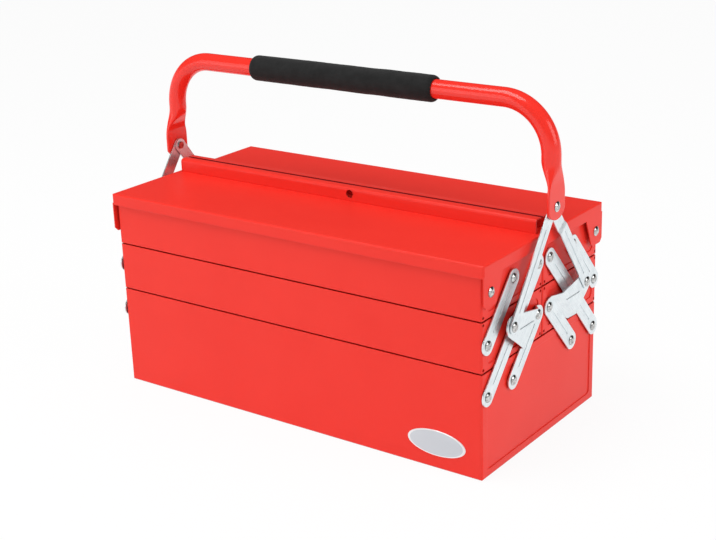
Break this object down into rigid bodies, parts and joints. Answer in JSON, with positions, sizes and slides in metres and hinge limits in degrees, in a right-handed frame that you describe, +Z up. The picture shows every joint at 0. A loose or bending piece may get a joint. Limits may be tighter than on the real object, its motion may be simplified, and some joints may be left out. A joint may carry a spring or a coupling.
{
  "type": "cantilever toolbox",
  "caption": "Sheet-metal cantilever toolbox: base, stacked trays and split lids that swing apart on side links as the foam-gripped carrying handle folds down.",
  "frame": {"origin": "centre of the box, on the floor that it rests on", "axes": "X along the box's length, -Y towards the front that carries the oval badge, Z up"},
  "size_m": [0.4754, 0.225, 0.3452],
  "materials": {
    "red_paint": "semi-gloss powder coat",
    "zinc_plate": "bright zinc plate",
    "rivet_metal": "plated",
    "foam": "fine closed-cell foam",
    "badge": "satin, bare"
  },
  "bodies": {
    "base": {"base_tub": "red_paint", "base_end_right": "red_paint", "base_end_left": "red_paint", "front_badge": "badge", "base_rivets": "rivet_metal"},
    "front_long_links": {"front_long_link_right": "zinc_plate", "front_long_link_left": "zinc_plate"},
    "front_middle_level": {"front_middle_tray": "red_paint", "front_middle_rivets": "rivet_metal", "front_middle_tray_end_right": "red_paint", "front_middle_tray_end_left": "red_paint"},
    "front_top_level": {"front_top_tray": "red_paint", "front_top_rivets": "rivet_metal", "front_lid_rivets": "rivet_metal", "front_top_tray_end_right": "red_paint", "front_top_tray_end_left": "red_paint"},
    "front_short_links": {"front_short_link_right": "zinc_plate", "front_short_link_left": "zinc_plate"},
    "front_rockers": {"front_rocker_right": "zinc_plate", "front_rocker_left": "zinc_plate", "front_rocker_rivets": "rivet_metal"},
    "front_handle_bars": {"front_handle_bar_right": "zinc_plate", "front_handle_bar_left": "zinc_plate", "handle_rivets": "rivet_metal"},
    "front_lid_panel": {"front_lid": "red_paint", "front_lid_ridge": "red_paint"},
    "rear_long_links": {"rear_long_link_right": "zinc_plate", "rear_long_link_left": "zinc_plate"},
    "rear_middle_level": {"rear_middle_tray": "red_paint", "rear_middle_rivets": "rivet_metal", "rear_middle_tray_end_right": "red_paint", "rear_middle_tray_end_left": "red_paint"},
    "rear_top_level": {"rear_top_tray": "red_paint", "rear_top_rivets": "rivet_metal", "rear_lid_rivets": "rivet_metal", "rear_top_tray_end_right": "red_paint", "rear_top_tray_end_left": "red_paint"},
    "rear_short_links": {"rear_short_link_right": "zinc_plate", "rear_short_link_left": "zinc_plate"},
    "rear_rockers": {"rear_rocker_right": "zinc_plate", "rear_rocker_left": "zinc_plate", "rear_rocker_rivets": "rivet_metal"},
    "rear_handle_bars": {"rear_handle_bar_right": "zinc_plate", "rear_handle_bar_left": "zinc_plate", "handle_bar_rivets": "rivet_metal"},
    "rear_lid_panel": {"rear_lid": "red_paint", "rear_lid_ridge": "red_paint"},
    "carry_handle": {"handle_tube_middle": "red_paint", "handle_tube_right": "red_paint", "handle_tube_left": "red_paint", "foam_grip": "foam"}
  },
  "joints": [
    {"name": "open", "type": "hinge", "parent": "base", "child": "front_long_links", "pos_m": [0, -0.102, 0.082], "axis": [1, 0, 0], "range_deg": [0, 84.6]},
    {"name": "front_middle_level_turn", "type": "hinge", "parent": "front_long_links", "child": "front_middle_level", "pos_m": [0, -0.0565, 0.132], "axis": [1, 0, 0], "range_deg": [-84.6, 0]},
    {"name": "front_top_level_turn", "type": "hinge", "parent": "front_long_links", "child": "front_top_level", "pos_m": [0, -0.011, 0.182], "axis": [1, 0, 0], "range_deg": [-84.6, 0]},
    {"name": "front_short_links_turn", "type": "hinge", "parent": "front_middle_level", "child": "front_short_links", "pos_m": [0, -0.102, 0.132], "axis": [1, 0, 0], "range_deg": [0, 84.6]},
    {"name": "front_rockers_turn", "type": "hinge", "parent": "base", "child": "front_rockers", "pos_m": [0, -0.0565, 0.082], "axis": [1, 0, 0], "range_deg": [0, 84.6]},
    {"name": "front_handle_bars_turn", "type": "hinge", "parent": "front_rockers", "child": "front_handle_bars", "pos_m": [0, -0.07, 0.141], "axis": [1, 0, 0], "range_deg": [-129.1, 0]},
    {"name": "front_lid_turn", "type": "hinge", "parent": "front_top_level", "child": "front_lid_panel", "pos_m": [0, -0.1, 0.183], "axis": [1, 0, 0], "range_deg": [0, 105]},
    {"name": "rear_open", "type": "hinge", "parent": "base", "child": "rear_long_links", "pos_m": [0, 0.102, 0.082], "axis": [1, 0, 0], "range_deg": [-84.6, 0]},
    {"name": "rear_middle_level_turn", "type": "hinge", "parent": "rear_long_links", "child": "rear_middle_level", "pos_m": [0, 0.0565, 0.132], "axis": [1, 0, 0], "range_deg": [0, 84.6]},
    {"name": "rear_top_level_turn", "type": "hinge", "parent": "rear_long_links", "child": "rear_top_level", "pos_m": [0, 0.011, 0.182], "axis": [1, 0, 0], "range_deg": [0, 84.6]},
    {"name": "rear_short_links_turn", "type": "hinge", "parent": "rear_middle_level", "child": "rear_short_links", "pos_m": [0, 0.102, 0.132], "axis": [1, 0, 0], "range_deg": [-84.6, 0]},
    {"name": "rear_rockers_turn", "type": "hinge", "parent": "base", "child": "rear_rockers", "pos_m": [0, 0.0565, 0.082], "axis": [1, 0, 0], "range_deg": [-84.6, 0]},
    {"name": "rear_handle_bars_turn", "type": "hinge", "parent": "rear_rockers", "child": "rear_handle_bars", "pos_m": [0, 0.07, 0.141], "axis": [1, 0, 0], "range_deg": [0, 129.1]},
    {"name": "rear_lid_turn", "type": "hinge", "parent": "rear_top_level", "child": "rear_lid_panel", "pos_m": [0, 0.1, 0.183], "axis": [1, 0, 0], "range_deg": [-105, 0]},
    {"name": "handle_tilt", "type": "hinge", "parent": "front_handle_bars", "child": "carry_handle", "pos_m": [0, 0, 0.236], "axis": [1, 0, 0], "range_deg": [-5, 94]}
  ],
  "couplings": [
    {"joint": "front_middle_level_turn", "follows": "open", "ratio": -1},
    {"joint": "front_top_level_turn", "follows": "open", "ratio": -1},
    {"joint": "front_short_links_turn", "follows": "open", "ratio": 1},
    {"joint": "front_rockers_turn", "follows": "open", "ratio": 1},
    {"joint": "front_handle_bars_turn", "follows": "open", "ratio": -1.5258},
    {"joint": "rear_open", "follows": "open", "ratio": -1},
    {"joint": "rear_middle_level_turn", "follows": "open", "ratio": 1},
    {"joint": "rear_top_level_turn", "follows": "open", "ratio": 1},
    {"joint": "rear_short_links_turn", "follows": "open", "ratio": -1},
    {"joint": "rear_rockers_turn", "follows": "open", "ratio": -1},
    {"joint": "rear_handle_bars_turn", "follows": "open", "ratio": 1.5258}
  ]
}
